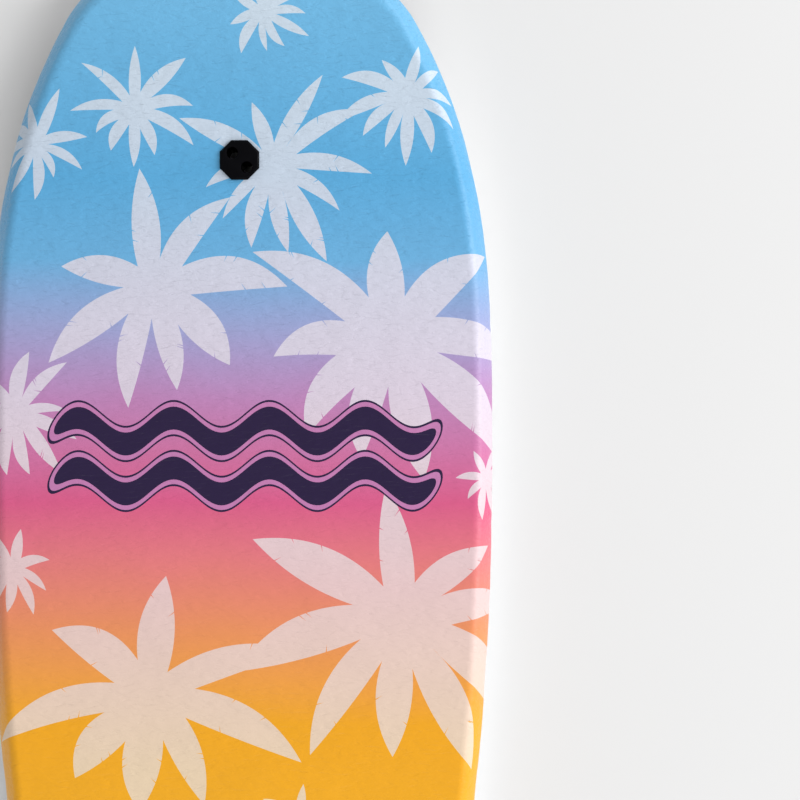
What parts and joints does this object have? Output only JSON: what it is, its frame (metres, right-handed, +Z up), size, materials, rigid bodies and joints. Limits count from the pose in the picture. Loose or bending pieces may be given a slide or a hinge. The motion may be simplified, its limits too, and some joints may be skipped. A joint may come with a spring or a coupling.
{
  "type": "bodyboard",
  "caption": "Flat foam wave-riding board with a printed deck, bevelled rails, crescent tail, slick bottom and a leash plug with cord holes.",
  "frame": {"origin": "middle of the board's bounding box in plan, on the flat of the slick bottom", "axes": "+Y towards the nose, +Z up out of the deck, +X towards the right-hand rail seen from above with the nose up"},
  "size_m": [0.508, 1.041, 0.0666],
  "materials": {
    "core_foam": "fused white foam beads",
    "skin_foam": "matt closed-cell foam",
    "printed_film": "satin laminated film with a fine wrinkle, printed from sky blue at the nose through pink to golden yellow at the tail",
    "rail_foam": "smooth skinned foam, off-white",
    "slick_sheet": "smooth hard polyethylene with fine scratches along its length",
    "plug_plastic": "black moulded plastic, fine satin grain"
  },
  "bodies": {
    "root": {"foam_core": "core_foam", "deck_foam": "skin_foam", "deck_film": "printed_film", "left_rail": "rail_foam", "right_rail": "rail_foam", "nose_strip": "rail_foam", "tail_strip": "rail_foam", "bottom_foam": "skin_foam", "bottom_slick": "slick_sheet", "leash_plug_top": "plug_plastic", "leash_plug_base": "plug_plastic"}
  },
  "joints": []
}
